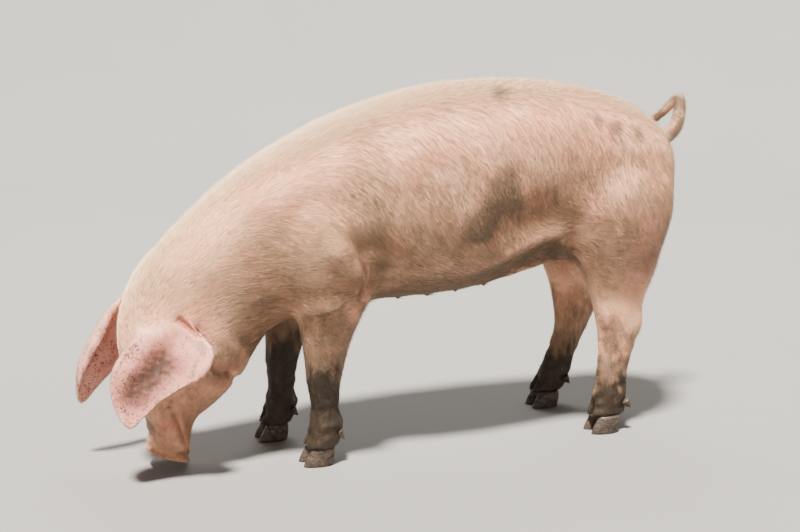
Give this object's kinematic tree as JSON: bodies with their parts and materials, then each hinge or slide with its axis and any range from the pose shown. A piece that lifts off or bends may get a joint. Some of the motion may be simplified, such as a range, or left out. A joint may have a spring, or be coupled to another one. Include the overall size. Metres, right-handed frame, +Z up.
{
  "type": "pig",
  "caption": "White lop-eared pig as a life-size still model, standing on all fours with its head lowered and its snout at the ground.",
  "frame": {"origin": "on the floor, under the middle of the pig's bounding box", "axes": "+X is the way the pig faces, +Y is its left side, +Z is up"},
  "size_m": [1.4932, 0.3812, 0.8441],
  "materials": {
    "hide": "matt pink skin under fine cream bristles",
    "ear_hide": "thin pink skin with dark specks and pale short hair",
    "leg_hide": "pink skin and pale hair, muddy towards the foot",
    "snout_hide": "bare damp skin with soil on it",
    "horn": "dull horn caked with mud",
    "eye": "wet gloss"
  },
  "bodies": {
    "root": {"trunk": "hide", "neck": "hide", "head": "hide", "snout": "snout_hide", "tail": "hide", "ear_left": "ear_hide", "ear_right": "ear_hide", "eye_left": "eye", "eye_right": "eye", "foreleg_left": "leg_hide", "foreleg_right": "leg_hide", "hindleg_left": "leg_hide", "hindleg_right": "leg_hide", "hoof_foreleg_left_outer": "horn", "hoof_foreleg_left_inner": "horn", "hoof_foreleg_right_outer": "horn", "hoof_foreleg_right_inner": "horn", "hoof_hindleg_left_outer": "horn", "hoof_hindleg_left_inner": "horn", "hoof_hindleg_right_outer": "horn", "hoof_hindleg_right_inner": "horn", "dewclaw_foreleg_left_outer": "horn", "dewclaw_foreleg_left_inner": "horn", "dewclaw_foreleg_right_outer": "horn", "dewclaw_foreleg_right_inner": "horn", "dewclaw_hindleg_left_outer": "horn", "dewclaw_hindleg_left_inner": "horn", "dewclaw_hindleg_right_outer": "horn", "dewclaw_hindleg_right_inner": "horn"}
  },
  "joints": []
}
